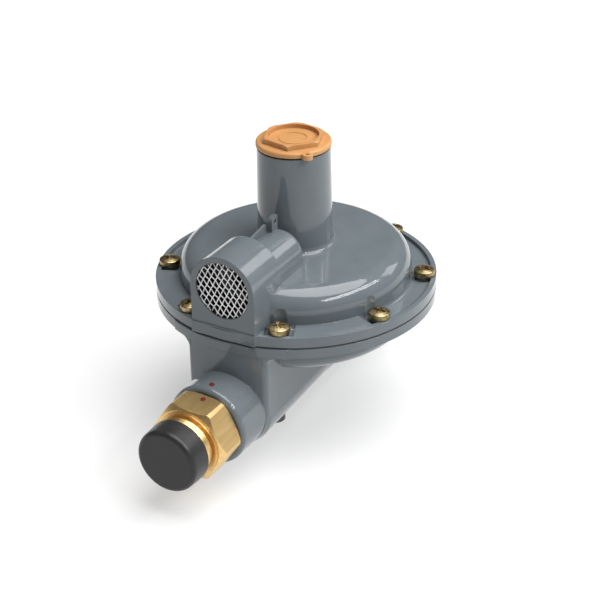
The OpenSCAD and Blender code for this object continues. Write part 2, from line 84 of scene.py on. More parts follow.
# Floor and lamps. A softbox has an azimuth, an elevation, a width, a height and a radiance.
FLOOR_SIZE, FLOOR_GLOW = 24, 0.47
WORLD_STRENGTH = 0.1
LAMP_DISTANCE, LAMP_TARGET_Z = 2.4, 0.03
SOFTBOXES = {
    "upper_tube": (4, 45, 2.6, 0.07, 38.0),
    "lower_tube": (4, 39, 2.6, 0.07, 38.0),
    "side_strip": (60, 30, 0.8, 0.7, 3.6),
}
SKY_AZIMUTH, SKY_ELEVATION, SKY_ENERGY, SKY_ANGLE = 30, 76, 3.7, 52

# From the part's source: the tower's axis, the parting plane, the tower's rim, the cap's recess
TOWER_X, PARTING_Z, TOWER_H, CAP_RECESS_Z = -78.0, 33.9, 64.8, 68.26

# Places where the paint ends: machined bores, and hollows coloured near-black as painted shade
TOWER_BARE_R, PIPE_BARE_R = 13.4, 13.6
VENT_SHADE_R, VENT_SHADE_X = 12.85, (-138.9, -118.0)
BORE_SHADE_R, BORE_SHADE_X = 11.0, (-130.0, -17.0)

# Casing screws: the turn of each head, and the recess as heights below or above the crown's top
SCREW_RING_R, SCREW_TURNS = 57.2, (20, 64, 112, -14, 38, 5, 77, 51)
HEAD_Z, HEAD_R, HEAD_H, HEAD_CROWN, HEAD_SOFT = 5.02, 4.6, 3.68, 11.0, 0.5
CROWN_RADII = (0.0, 0.8, 1.6, 2.4, 3.2, 3.9)
SHANK_R, SHANK_FOOT, TIP_R, TIP_H = 2.48, -10.58, 2.0, 0.5
WING_ENDS = ((0.6, 3.3, 0.78), (-1.9, 1.6, 0.5))
CONE_OUTLINE = ((0.0, -2.3), (1.05, -1.6), (1.5, 0.6), (0.0, 0.6))

# Net in the vent's mouth
NET_X, NET_Z, NET_R = -138.45, 56.7, 12.72
NET_PITCH, NET_ANGLES, NET_WIRE = 2.45, (-46.0, 62.0), 0.26
NET_LIFT, NET_SHORTEST = 0.8 * NET_WIRE, 1.5
NET_STEPS, NET_SIDES = 8, 8

# Threads: radius, reach along the axis, pitch and depth, with the groove's shape as shares of pitch
PIPE_PITCH, PIPE_DEPTH = 1.814, 1.0
NIPPLE_R, NIPPLE_X = 13.22, (-187.0, -172.3)
OUTLET_R, OUTLET_X = 12.06, (1.2, -14.5)
SKIRT_R, SKIRT_Z, SKIRT_PITCH, SKIRT_DEPTH = 13.1, (56.6, 64.2), 2.0, 0.9
GROOVE_MOUTH, GROOVE_FLOOR, GROOVE_PROUD, GROOVE_FADE_TURNS = 0.49, 0.09, 0.12, 0.4
GROOVE_STEPS = 48

# Coil springs. The loading spring is cut where one joint's stretch ends and the next begins.
Coil = namedtuple("Coil", "radius wire turns low high")
MAIN_COIL = Coil(11.0, 1.1, 7, 2.0, 41.7)
RELIEF_COIL = Coil(5.5, 0.65, 7, 4.5, 21.9)
COIL_STEPS, COIL_SIDES = 36, 10
CLOSED_TURN, EASED_TURN, CLOSED_PITCH = 0.4, 0.6, 2.02
SPRING_CUTS, SPRING_GAP = (9.0, 18.0), 0.03

# Rubber: the sheet with its fold, the seal under the cap, and the valve's disc with its seat mark
FOLD_R, FOLD_H, FOLD_STEPS, FOLD_EASE = 42.1, 4.0, 16, 0.4
SHEET_R, SHEET_HALF, SHEET_SPLIT, SHEET_GAP = 62.42, 0.39, 2.0, 0.05
SCREW_HOLE_R, POST_HOLE_R, HOLE_REACH = 2.8, 3.3, 2.0
SEAL_OUTLINE = ((13.5, 0.03), (15.6, 0.03), (15.6, 0.83), (13.5, 0.83))
DISC_X, DISC_R, DISC_H = -84.3, 5.6, 3.27
DISC_OUTLINE = ((0.0, 0.0), (2.9, 0.0), (3.2, 0.08), (3.8, 0.08), (4.1, 0.0), (DISC_R, 0.0),
                (DISC_R, DISC_H), (0.0, DISC_H))

# Drops of paint: place and tilt, with shares of the radius and heights that make the dome
MARKS = {
    "mark_on_boss": ((-151.5, -0.87, 18.42), 2.7),
    "mark_on_hexagon": ((-159.72, -1.61, 15.9), 4.0),
}
MARK_R, MARK_STEPS = 1.3, 28
MARK_DOME = ((1.0, 0.0), (0.97, 0.1), (0.82, 0.19), (0.5, 0.25), (0.02, 0.27))
CAP_RING_OUTLINE = ((5.7, -0.1), (6.5, -0.1), (6.5, 0.28), (5.7, 0.28))

# Body's side wall under the flange: its straight run, the bend at its end, and the fillet's size
WALL_MID, WALL_TAPER, WALL_FROM, WALL_TO, WALL_STEPS = 17.5, 0.0334, 46.8, 57.97, 8
BEND_CENTRE, BEND_R, BEND_FROM, BEND_SWEEP, BEND_STEPS = (58.05, 17.037), 2.42, 91.9, 75.5, 12
FILLET_R, FILLET_STEPS, FILLET_GAP, FILLET_ROOT, FILLET_TOP = 4.0, 10, 0.02, 0.6, 0.3
UNDER_Z, FLANGE_R, PAD_R = -4.8, 62.45, 63.05

# Shading and mesh settings
NOISE_LOW, NOISE_HIGH, NOISE_ROUGHNESS = 0.3, 0.7, 0.55
BEVEL_SAMPLES = 6
MIX_A, MIX_B, MIX_RESULT = 6, 7, 2
SHARP, SHARP_ON_WIRE = 32, 60
ON_AXIS_R = 1e-6
CORNER_SHARE = 0.45
WELD_M, SAME_PLACE_M, SAME_FACING, TOWARD_MIDDLE = 2e-6, 1e-5, 0.9, 0.05


# Materials

class Shader:
    """A procedural material: a Principled shader and short ways to feed its sockets."""

    def __init__(self, name, **constants):
        self.material = bpy.data.materials.new(name)
        self.material.use_nodes = True
        self.tree = self.material.node_tree
        self.bsdf = self.tree.nodes["Principled BSDF"]
        for socket, value in constants.items():
            self.bsdf.inputs[socket.replace("_", " ")].default_value = value
        self.place = self.node("ShaderNodeTexCoord").outputs["Object"]

    def node(self, kind, **inputs):
        made = self.tree.nodes.new(kind)
        for socket, value in inputs.items():
            self.feed(made.inputs[socket.replace("_", " ")], value)
        return made

    def feed(self, socket, value):
        if isinstance(value, bpy.types.NodeSocket):
            self.tree.links.new(value, socket)
        else:
            socket.default_value = value

    def set(self, socket, value):
        self.feed(self.bsdf.inputs[socket], value)

    def noise(self, size_mm, detail=3.0, stretch=(1, 1, 1)):
        """Noise with features of about size_mm, drawn out along the axes with a small stretch."""
        mapped = self.node("ShaderNodeMapping", Vector=self.place, Scale=stretch)
        made = self.node("ShaderNodeTexNoise", Vector=mapped.outputs["Vector"],
                         Scale=1 / (size_mm * MM), Detail=detail, Roughness=NOISE_ROUGHNESS)
        return made.outputs["Fac"]

    def ramp(self, value, *stops):
        """Colour ramp through (place, colour) stops."""
        made = self.node("ShaderNodeValToRGB", Fac=value)
        marks = made.color_ramp.elements
        while len(marks) < len(stops):
            marks.new(0.5)
        for mark, (place, colour) in zip(marks, stops):
            mark.position = place
            mark.color = rgb(*colour)
        return made.outputs["Color"]

    def fade(self, value, low, high):
        """Colour low where noise is weak and colour high where it is strong."""
        return self.ramp(value, (NOISE_LOW, low), (NOISE_HIGH, high))

    def scale(self, value, low, high):
        """Spreads noise over the numbers from low to high."""
        made = self.node("ShaderNodeMapRange", Value=value, From_Min=NOISE_LOW,
                         From_Max=NOISE_HIGH, To_Min=low, To_Max=high)
        return made.outputs["Result"]

    def math(self, operation, a, b):
        made = self.tree.nodes.new("ShaderNodeMath")
        made.operation = operation
        self.feed(made.inputs[0], a)
        self.feed(made.inputs[1], b)
        return made.outputs[0]

    def mix(self, factor, a, b):
        """Colour a where factor is 0 and colour b where it is 1."""
        made = self.tree.nodes.new("ShaderNodeMix")
        made.data_type = "RGBA"
        self.feed(made.inputs["Factor"], factor)
        self.feed(made.inputs[MIX_A], a)
        self.feed(made.inputs[MIX_B], b)
        return made.outputs[MIX_RESULT]

    def bump(self, *layers, edge_mm):
        """Adds (height, millimetres) layers of relief, on edges rounded by edge_mm."""
        bevel = self.node("ShaderNodeBevel", Radius=edge_mm * MM)
        bevel.samples = BEVEL_SAMPLES
        normal = bevel.outputs["Normal"]
        for height, depth in layers:
            made = self.node("ShaderNodeBump", Height=height, Distance=depth * MM, Normal=normal)
            normal = made.outputs["Normal"]
        self.set("Normal", normal)
        return self.material

    def radius_from(self, axis, centre):
        """Distance in millimetres from a line along X or Z through centre."""
        parts = self.node("ShaderNodeSeparateXYZ", Vector=self.place).outputs
        pair = ("Y", "Z") if axis == "X" else ("X", "Y")
        offsets = [self.math("SUBTRACT", self.math("DIVIDE", parts[p], MM), c)
                   for p, c in zip(pair, centre)]
        squares = [self.math("POWER", offset, 2.0) for offset in offsets]
        return self.math("POWER", self.math("ADD", *squares), 0.5)

    def between_x(self, low, high):
        """1 where X lies between low and high, in millimetres."""
        x = self.node("ShaderNodeSeparateXYZ", Vector=self.place).outputs["X"]
        return self.math("MULTIPLY", self.math("GREATER_THAN", x, low * MM),
                         self.math("LESS_THAN", x, high * MM))


def rgb(*parts):
    return (*parts, 1.0)


def tower_bare(shader):
    """The tower's bore is machined."""
    return shader.math("LESS_THAN", shader.radius_from("Z", (TOWER_X, 0.0)), TOWER_BARE_R)


def pipe_bare(shader):
    """The pipe threads at both ends are machined."""
    return shader.math("LESS_THAN", shader.radius_from("X", (0.0, 0.0)), PIPE_BARE_R)


def vent_painted_shade(shader):
    """The vent's passage behind the net is coloured near-black, as painted shade for its depth."""
    inside = shader.math("LESS_THAN", shader.radius_from("X", (0.0, NET_Z)), VENT_SHADE_R)
    return shader.math("MULTIPLY", inside, shader.between_x(*VENT_SHADE_X))


def bore_painted_shade(shader):
    """The depth of the pipe's bores is coloured near-black, as painted shade."""
    deep = shader.math("LESS_THAN", shader.radius_from("X", (0.0, 0.0)), BORE_SHADE_R)
    return shader.math("MULTIPLY", deep, shader.between_x(*BORE_SHADE_X))


def make_paint(name, bare, dark):
    """Glossy grey paint on cast metal. bare marks machined places with 1, dark marks hollows that
    get painted shade.
    """
    shader = Shader(name, Specular_IOR_Level=0.25, Coat_Weight=0.4, Coat_Roughness=0.03)
    cloud, grain = shader.noise(14, 4), shader.noise(0.5, 2)
    peel, cast = shader.noise(2.2, 2), shader.noise(7, 3)
    coat = shader.fade(cloud, (0.11, 0.13, 0.143), (0.127, 0.147, 0.16))
    paint = shader.mix(shader.scale(grain, 0.0, 0.12), coat, rgb(0.145, 0.165, 0.174))
    tool_lines = shader.noise(0.6, 3, (1, 0.15, 1))
    metal = shader.fade(tool_lines, (0.42, 0.42, 0.42), (0.62, 0.61, 0.6))
    bare_mask, painted_shade_mask = bare(shader), dark(shader)
    shown = shader.mix(bare_mask, paint, metal)
    # Painted shade: where dark is 1 the colour is near-black, and the roughness rises there too.
    shader.set("Base Color", shader.mix(painted_shade_mask, shown, rgb(0.008, 0.008, 0.009)))
    shader.set("Metallic", bare_mask)
    rough = shader.math("ADD", shader.scale(cloud, 0.08, 0.14),
                        shader.math("MULTIPLY", bare_mask, 0.15))
    shader.set("Roughness", shader.math("ADD", rough, shader.math("MULTIPLY", painted_shade_mask, 0.5)))
    return shader.bump((cast, 0.12), (peel, 0.03), (grain, 0.004), edge_mm=0.7)


def make_brass():
    shader = Shader("brass", Metallic=1.0, Specular_IOR_Level=0.5)
    streak = shader.noise(2.2, 4, (0.1, 1, 1))
    fine = shader.noise(0.4, 3, (1, 0.2, 0.2))
    stain = shader.noise(9, 3)
    bright = shader.ramp(streak, (NOISE_LOW, (0.74, 0.495, 0.205)), (0.5, (0.82, 0.57, 0.255)),
                         (NOISE_HIGH, (0.9, 0.65, 0.31)))
    shader.set("Base Color",
               shader.mix(shader.scale(stain, 0.0, 0.3), bright, rgb(0.68, 0.475, 0.19)))
    shader.set("Roughness", shader.scale(fine, 0.34, 0.44))
    return shader.bump((streak, 0.008), (fine, 0.003), edge_mm=0.2)


def make_zinc():
    shader = Shader("yellow_zinc", Metallic=1.0)
    tint, wear = shader.noise(1.6, 3), shader.noise(0.5, 3)
    film = shader.ramp(tint, (NOISE_LOW, (0.15, 0.135, 0.045)), (0.45, (0.29, 0.235, 0.1)),
                       (0.58, (0.42, 0.32, 0.19)), (NOISE_HIGH, (0.4, 0.28, 0.215)))
    shader.set("Base Color", film)
    shader.set("Roughness", shader.scale(wear, 0.27, 0.42))
    return shader.bump((wear, 0.006), edge_mm=0.15)


def make_orange():
    shader = Shader("orange_plastic", Specular_IOR_Level=0.45, Subsurface_Weight=0.1,
                    Subsurface_Scale=0.002, Subsurface_Radius=(1.0, 0.5, 0.2))
    flow, grain = shader.noise(10, 3), shader.noise(0.45, 3)
    shader.set("Base Color", shader.fade(flow, (0.475, 0.232, 0.08), (0.53, 0.268, 0.1)))
    shader.set("Roughness", shader.scale(grain, 0.38, 0.5))
    return shader.bump((flow, 0.08), (grain, 0.012), edge_mm=0.35)


def make_dull(name, low, high, rough, grain_mm):
    """Plastic, rubber or thick paint with a soft gloss."""
    shader = Shader(name, Specular_IOR_Level=0.34)
    cloud, grain = shader.noise(6, 3), shader.noise(grain_mm, 3)
    shader.set("Base Color", shader.fade(cloud, low, high))
    shader.set("Roughness", shader.scale(cloud, rough - 0.04, rough + 0.08))
    return shader.bump((cloud, 0.05), (grain, 0.002), edge_mm=0.3)


def make_metal(name, low, high, rough, stretch=(1, 1, 1)):
    shader = Shader(name, Metallic=1.0)
    streak, cloud = shader.noise(0.7, 3, stretch), shader.noise(5, 3)
    tone = shader.fade(streak, low, high)
    shader.set("Base Color", shader.mix(shader.scale(cloud, 0.0, 0.3), tone, rgb(*low)))
    shader.set("Roughness", shader.scale(cloud, rough - 0.06, rough + 0.08))
    return shader.bump((streak, 0.006), edge_mm=0.12)


MATERIALS = {
    "upper_paint": make_paint("upper_paint", tower_bare, vent_painted_shade),
    "lower_paint": make_paint("lower_paint", pipe_bare, bore_painted_shade),
    "brass": make_brass(),
    "zinc": make_zinc(),
    "orange": make_orange(),
    "black_plastic": make_dull("black_plastic", (0.019, 0.019, 0.0195), (0.025, 0.025, 0.0255),
                               0.36, 0.5),
    "rubber": make_dull("black_rubber", (0.022, 0.022, 0.022), (0.034, 0.034, 0.034), 0.62, 0.3),
    "red_paint": make_dull("red_paint", (0.09, 0.006, 0.003), (0.13, 0.011, 0.006), 0.5, 0.3),
    "steel": make_metal("bright_steel", (0.5, 0.5, 0.5), (0.68, 0.67, 0.66), 0.3, (1, 1, 0.2)),
    "spring": make_metal("spring_steel", (0.16, 0.16, 0.17), (0.3, 0.3, 0.3), 0.34),
    "cast": make_metal("cast_aluminium", (0.4, 0.4, 0.41), (0.55, 0.55, 0.55), 0.45),
    "dark": make_metal("dark_steel", (0.1, 0.1, 0.105), (0.18, 0.18, 0.185), 0.42),
    "net": make_metal("bright_mesh", (0.8, 0.81, 0.82), (0.93, 0.93, 0.94), 0.5),
}

NODE_MATERIALS = {
    "upper_case": "upper_paint", "lower_case": "lower_paint", "case_screws": "zinc",
    "screw_washers": "dark", "closing_cap": "orange", "cap_seal": "rubber",
    "adjusting_screw": "cast", "main_spring": "spring", "diaphragm": "rubber",
    "diaphragm_plate": "steel", "pusher_post": "cast", "relief_spring": "spring",
    "relief_retainer": "zinc", "lever": "steel", "lever_pin": "steel", "pin_screws": "steel",
    "valve_stem": "brass", "valve_disc": "rubber", "orifice": "brass", "inlet_fitting": "brass",
    "dust_cap": "black_plastic", "vent_screen": "net", "test_nipple": "dark",
    "nipple_screw": "steel",
}
for node, material in NODE_MATERIALS.items():
    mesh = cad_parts[node].data
    mesh.materials.clear()
    mesh.materials.append(MATERIALS[material])


# Places

def about_x(along, radius, angle):
    """Point at a radius and angle about the pipe's axis, in millimetres."""
    return Vector((along, radius * math.cos(angle), radius * math.sin(angle)))


def about_tower(along, radius, angle):
    """Point at a radius and angle about the tower's axis, in millimetres."""
    return Vector((TOWER_X + radius * math.cos(angle), radius * math.sin(angle),
                   PARTING_Z + along))


def at_tower(x=0.0, y=0.0, z=0.0):
    """Placement beside the tower's axis, above the parting plane."""
    return Matrix.Translation(Vector((TOWER_X + x, y, PARTING_Z + z)) * MM)


def screw_places(z=0.0):
    """Placement of each casing screw, z above the parting plane."""
    count = len(SCREW_TURNS)
    angles = [math.tau * (i + 0.5) / count for i in range(count)]
    return [at_tower(SCREW_RING_R * math.cos(a), SCREW_RING_R * math.sin(a), z) for a in angles]


# Mesh helpers

def turned(outline, place, segments):
    """Solid turned about its height axis from a closed outline of (radius, height) points."""
    bm = bmesh.new()
    rings = []
    for radius, height in outline:
        count = 1 if radius < ON_AXIS_R else segments
        angles = [math.tau * k / segments for k in range(count)]
        points = [Vector((radius * math.cos(a), radius * math.sin(a), height)) for a in angles]
        rings.append([bm.verts.new(p * MM) for p in points])
    for low, high in zip(rings, rings[1:] + rings[:1]):
        if len(low) == len(high) == 1:
            continue
        for k in range(segments):
            corners = [low[k % len(low)], low[(k + 1) % len(low)],
                       high[(k + 1) % len(high)], high[k % len(high)]]
            bm.faces.new(list(dict.fromkeys(corners)))
    bmesh.ops.recalc_face_normals(bm, faces=bm.faces)
    bm.transform(place)
    return bm


def softened(outline, radius, steps=5):
    """The outline with each corner off the axis rounded."""
    points = [Vector(p) for p in outline]
    soft = []
    for before, point, after in zip(points[-1:] + points, points, points[1:] + points[:1]):
        if point.x < ON_AXIS_R:
            soft.append(tuple(point))
            continue
        to_before, to_after = before - point, after - point
        cut = min(radius, CORNER_SHARE * to_before.length, CORNER_SHARE * to_after.length)
        start, end = point + to_before.normalized() * cut, point + to_after.normalized() * cut
        for k in range(steps + 1):
            t = k / steps
            soft.append(tuple(start * (1 - t) ** 2 + point * 2 * t * (1 - t) + end * t * t))
    return soft


def swept(rings):
    """Closed skin over rings of points, each a list of millimetre vectors of the same length."""
    bm = bmesh.new()
    made = [[bm.verts.new(Vector(p) * MM) for p in ring] for ring in rings]
    count = len(made[0])
    for low, high in zip(made, made[1:]):
        for k in range(count):
            bm.faces.new((low[k], low[(k + 1) % count], high[(k + 1) % count], high[k]))
    bm.faces.new(made[0])
    bm.faces.new(made[-1])
    bmesh.ops.recalc_face_normals(bm, faces=bm.faces)
    return bm


def gather(bm, part):
    """Adds one part's faces to bm and frees the part."""
    mesh = bpy.data.meshes.new("part")
    part.to_mesh(mesh)
    part.free()
    bm.from_mesh(mesh)
    bpy.data.meshes.remove(mesh)


def as_object(name, bm):
    mesh = bpy.data.meshes.new(name)
    bm.to_mesh(mesh)
    bm.free()
    made = bpy.data.objects.new(name, mesh)
    bpy.context.scene.collection.objects.link(made)
    return made


def carve(target, tool):
    """Cuts the tool out of the target and removes the tool."""
    cut = target.modifiers.new("cut", "BOOLEAN")
    cut.operation, cut.solver, cut.object = "DIFFERENCE", "EXACT", tool
    graph = bpy.context.evaluated_depsgraph_get()
    graph.update()
    mesh = bpy.data.meshes.new_from_object(target.evaluated_get(graph))
    target.modifiers.clear()
    target.data = mesh
    bpy.data.objects.remove(tool)


def dress(piece, material, body, slot, *nodes, sharp=SHARP):
    """Gives a piece its finish and, when a body is given, that body; it may stand for CAD nodes."""
    mesh = piece.data
    mesh.materials.clear()
    mesh.materials.append(MATERIALS[material])
    mesh.polygons.foreach_set("material_index", [0] * len(mesh.polygons))
    mesh.polygons.foreach_set("use_smooth", [True] * len(mesh.polygons))
    mesh.set_sharp_from_angle(angle=math.radians(sharp))
    if body:
        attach(piece, body)
    if nodes:
        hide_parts(*nodes)
    return piece


def copied(node, name):
    """Welded copy of a CAD node's mesh, free to be cut."""
    bm = bmesh.new()
    bm.from_mesh(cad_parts[node].data)
    bmesh.ops.remove_doubles(bm, verts=bm.verts, dist=WELD_M)
    return as_object(name, bm)


def keep_normals(piece, node):
    """Gives the uncut faces of a copied node the shading normals of the CAD mesh."""
    source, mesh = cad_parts[node].data, piece.data
    source.calc_loop_triangles()
    points = [v.co for v in source.vertices]
    triangles = source.loop_triangles
    tree = BVHTree.FromPolygons(points, [tuple(t.vertices) for t in triangles])
    normals = [corner.vector.copy() for corner in mesh.corner_normals]
    for face in mesh.polygons:
        for loop in face.loop_indices:
            point = mesh.vertices[mesh.loops[loop].vertex_index].co
            _, facing, index, gap = tree.find_nearest(point.lerp(face.center, TOWARD_MIDDLE))
            if gap < SAME_PLACE_M and facing.dot(face.normal) > SAME_FACING:
                corners = [points[v] for v in triangles[index].vertices]
                ends = [source.corner_normals[k].vector for k in triangles[index].loops]
                normals[loop] = barycentric_transform(point, *corners, *ends).normalized()
    mesh.normals_split_custom_set(normals)


# Casing screws: pan heads with a crosswise recess

def crown_height(radius):
    return HEAD_H - HEAD_CROWN + math.sqrt(HEAD_CROWN ** 2 - radius ** 2)


def add_screws():
    crown = [(r, crown_height(r)) for r in CROWN_RADII]
    corners = [(0.0, 0.0), (HEAD_R, 0.0), (HEAD_R, crown_height(HEAD_R)), crown[-1], (0.0, HEAD_H)]
    side = softened(corners, HEAD_SOFT)[1:-2]
    shank = [(0.0, SHANK_FOOT), (TIP_R, SHANK_FOOT), (SHANK_R, SHANK_FOOT + TIP_H), (SHANK_R, 0.0)]
    screw = as_object("screw", turned(shank + side + crown[-2::-1], NOWHERE, segments=64))
    for quarter in (0, 90):
        wing = [[Vector((x, y, HEAD_H + rise))
                 for x, y in ((-reach, -width), (reach, -width), (reach, width), (-reach, width))]
                for rise, reach, width in WING_ENDS]
        tool = as_object("wing", swept(wing))
        tool.data.transform(Matrix.Rotation(math.radians(quarter), 4, "Z"))
        carve(screw, tool)
    cone = [(r, HEAD_H + rise) for r, rise in CONE_OUTLINE]
    carve(screw, as_object("cone", turned(cone, NOWHERE, segments=24)))
    bm = bmesh.new()
    for place, turn in zip(screw_places(HEAD_Z), SCREW_TURNS):
        one = bmesh.new()
        one.from_mesh(screw.data)
        one.transform(place @ Matrix.Rotation(math.radians(turn), 4, "Z"))
        gather(bm, one)
    bpy.data.objects.remove(screw)
    dress(as_object("casing_screws", bm), "zinc", "housing", "yellow_zinc", "case_screws")


# Net of two sets of wires, each passing over and under the other

def net_wire(family, number):
    """One wire of a set, or None where it would be too short."""
    a, other = math.radians(NET_ANGLES[family]), math.radians(NET_ANGLES[1 - family])
    along, aside = Vector((math.cos(a), math.sin(a))), Vector((-math.sin(a), math.cos(a)))
    other_aside = Vector((-math.sin(other), math.cos(other)))
    offset = number * NET_PITCH
    half = math.sqrt(max(NET_R ** 2 - offset ** 2, 0.0))
    if half < NET_SHORTEST:
        return None
    crossing_step = NET_PITCH / abs(math.sin(other - a))
    count = max(NET_STEPS, int(2 * half / crossing_step * NET_STEPS))
    rings = []
    for k in range(count + 1):
        centre = along * (half * (2 * k / count - 1)) + aside * offset
        crossing = centre.dot(other_aside) / NET_PITCH
        lift = NET_LIFT * math.cos(math.pi * (crossing + number)) * (1 if family else -1)
        ring = []
        for m in range(NET_SIDES):
            b = math.tau * m / NET_SIDES
            flat = centre + aside * NET_WIRE * math.cos(b)
            ring.append((NET_X - lift - NET_WIRE * math.sin(b), -flat.x, NET_Z + flat.y))
        rings.append(ring)
    return swept(rings)


def add_net():
    bm = bmesh.new()
    reach = int(NET_R / NET_PITCH)
    for family in range(len(NET_ANGLES)):
        for number in range(-reach, reach + 1):
            wire = net_wire(family, number)
            if wire:
                gather(bm, wire)
    dress(as_object("vent_net", bm), "net", "housing", "bright_mesh", "vent_screen",
          sharp=SHARP_ON_WIRE)


# Coil springs with closed end turns

def coil_heights(coil):
    """Height of the wire's middle at each step of a coil whose end turns lie flat."""
    count = coil.turns * COIL_STEPS
    weights = []
    for i in range(count):
        turns_from_end = min(i, count - i) / COIL_STEPS
        weights.append(min(1.0, max(0.0, (turns_from_end - CLOSED_TURN) / EASED_TURN)))
    flat = CLOSED_PITCH * coil.wire / COIL_STEPS
    rise = coil.high - coil.low - 2 * coil.wire - flat * sum(1 - w for w in weights)
    free = rise / sum(weights)
    heights = [coil.low + coil.wire]
    for w in weights:
        heights.append(heights[-1] + free * w + flat * (1 - w))
    return heights


def make_coil(name, body, coil, node, first, last):
    """One stretch of a coil's wire, from step first to step last, which needn't be whole steps."""
    heights = coil_heights(coil)
    around = [math.tau * m / COIL_SIDES for m in range(COIL_SIDES)]
    rings = []
    for step in [first, *range(math.floor(first) + 1, math.ceil(last)), last]:
        i = min(math.floor(step), len(heights) - 2)
        z = heights[i] + (step - i) * (heights[i + 1] - heights[i])
        angle = math.tau * step / COIL_STEPS
        rings.append([about_tower(z + coil.wire * math.sin(t),
                                  coil.radius + coil.wire * math.cos(t), angle) for t in around])
    return dress(as_object(name, swept(rings)), "spring", body, "steel", node, sharp=SHARP_ON_WIRE)


def add_springs():
    """The loading spring in a stretch for each joint that loads it, and the relief spring."""
    heights = coil_heights(MAIN_COIL)
    foot, middle = (next(i for i, z in enumerate(heights) if z > cut) for cut in SPRING_CUTS)
    piece = make_coil("loading_spring_foot", "post", MAIN_COIL, "main_spring",
                      0, foot - SPRING_GAP)
    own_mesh(piece)
    piece = make_coil("loading_spring_middle", "spring_pack", MAIN_COIL, "main_spring",
                      foot + SPRING_GAP, middle - SPRING_GAP)
    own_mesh(piece)
    piece = make_coil("loading_spring", None, MAIN_COIL, "main_spring",
                      middle + SPRING_GAP, len(heights) - 1)
    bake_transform(piece)
    piece = make_coil("safety_spring", "post", RELIEF_COIL, "relief_spring",
                      0, RELIEF_COIL.turns * COIL_STEPS)
    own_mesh(piece)


# Rubber pieces

def add_diaphragm():
    """The clamped rim with its fold, and the centre that rides on the post."""
    t = SHEET_HALF
    angles = [math.pi * k / FOLD_STEPS for k in range(FOLD_STEPS + 1)]
    fold = [(FOLD_R + FOLD_H * math.cos(a), FOLD_H * math.sin(a)) for a in angles]
    outer = [(r + t * (r - FOLD_R) / FOLD_H, z + t * z / FOLD_H) for r, z in fold]
    inner = [(r - t * (r - FOLD_R) / FOLD_H, z - t * z / FOLD_H) for r, z in fold]
    split_r = FOLD_R - FOLD_H - SHEET_SPLIT
    outline = [(SHEET_R, -t), (SHEET_R, t), (outer[0][0] + FOLD_EASE, t)] + outer[1:-1]
    outline += [(split_r, t), (split_r, -t)] + inner[-2:0:-1] + [(inner[0][0], -t)]
    sheet = softened(outline, radius=0.12, steps=2)
    rim = as_object("diaphragm_rim", turned(sheet, at_tower(), segments=128))
    hole = [(0.0, -HOLE_REACH), (SCREW_HOLE_R, -HOLE_REACH), (SCREW_HOLE_R, HOLE_REACH),
            (0.0, HOLE_REACH)]
    for place in screw_places():
        carve(rim, as_object("hole", turned(hole, place, segments=24)))
    dress(rim, "rubber", "housing", "black_rubber", "diaphragm")
    edge = split_r - SHEET_GAP
    disc = [(POST_HOLE_R, -t), (edge, -t), (edge, t), (POST_HOLE_R, t)]
    centre = turned(softened(disc, radius=0.2), at_tower(), segments=96)
    dress(as_object("diaphragm_centre", centre), "rubber", "post", "black_rubber")


def add_seals():
    ring = turned(softened(SEAL_OUTLINE, radius=0.3), at_tower(z=TOWER_H), segments=96)
    dress(as_object("cap_gasket", ring), "rubber", "seal_ring", "black_rubber", "cap_seal")
    along_pipe = (Matrix.Translation(Vector((DISC_X, 0, 0)) * MM)
                  @ Matrix.Rotation(math.pi / 2, 4, "Y"))
    pad = turned(softened(DISC_OUTLINE, radius=0.3), along_pipe, segments=64)
    dress(as_object("valve_pad", pad), "rubber", "valve", "black_rubber", "valve_disc")


# Drops of red paint that show a fitting was tightened, and a plain ring in the cap's recess

def add_marks():
    for name, (spot, tilt) in MARKS.items():
        rings = []
        for share, height in MARK_DOME:
            ring = []
            for k in range(MARK_STEPS):
                a = math.tau * k / MARK_STEPS
                uneven = 1 + 0.13 * math.sin(2 * a + 0.6) + 0.05 * math.sin(5 * a)
                reach = MARK_R * share * uneven
                ring.append((reach * math.cos(a), reach * math.sin(a), height))
            rings.append(ring)
        drop = as_object(name, swept(rings))
        drop.data.transform(Matrix.Translation(Vector(spot) * MM)
                            @ Matrix.Rotation(math.radians(tilt), 4, "X"))
        dress(drop, "red_paint", "housing", "grey_paint", sharp=SHARP_ON_WIRE)
    ring = turned(softened(CAP_RING_OUTLINE, radius=0.2), at_tower(z=CAP_RECESS_Z), segments=72)
    dress(as_object("cap_ring", ring), "orange", "cap", "orange_plastic")


# Hollow corners where the body's side walls meet the flange

def wall_line():
    """Points along a side wall's upper edge, from the tower's axis out, each with its normal."""
    line = []
    for k in range(WALL_STEPS + 1):
        x = WALL_FROM + (WALL_TO - WALL_FROM) * k / WALL_STEPS
        line.append((Vector((x, WALL_MID + WALL_TAPER * x)),
                     Vector((-WALL_TAPER, 1.0)).normalized()))
    for k in range(1, BEND_STEPS + 1):
        a = math.radians(BEND_FROM - BEND_SWEEP * k / BEND_STEPS)
        out = Vector((math.cos(a), math.sin(a)))
        line.append((Vector(BEND_CENTRE) + out * BEND_R, out))
    return line


def fillet_profile(point, out, rim):
    """Offsets from the wall and heights of the fillet's section, kept inside the flange's rim."""
    inward = point.dot(out)
    reach = math.sqrt(max(0.0, inward ** 2 - point.length_squared + rim ** 2))
    room = max(0.0, reach - inward)
    profile = [(-FILLET_ROOT, UNDER_Z - FILLET_R)]
    for j in range(FILLET_STEPS + 1):
        a = math.pi / 2 * j / FILLET_STEPS
        profile.append((min(FILLET_GAP + FILLET_R * (1 - math.cos(a)), room),
                        UNDER_Z - FILLET_R * (1 - math.sin(a))))
    top = UNDER_Z + FILLET_TOP
    return profile + [(profile[-1][0], top), (-FILLET_ROOT, top)]


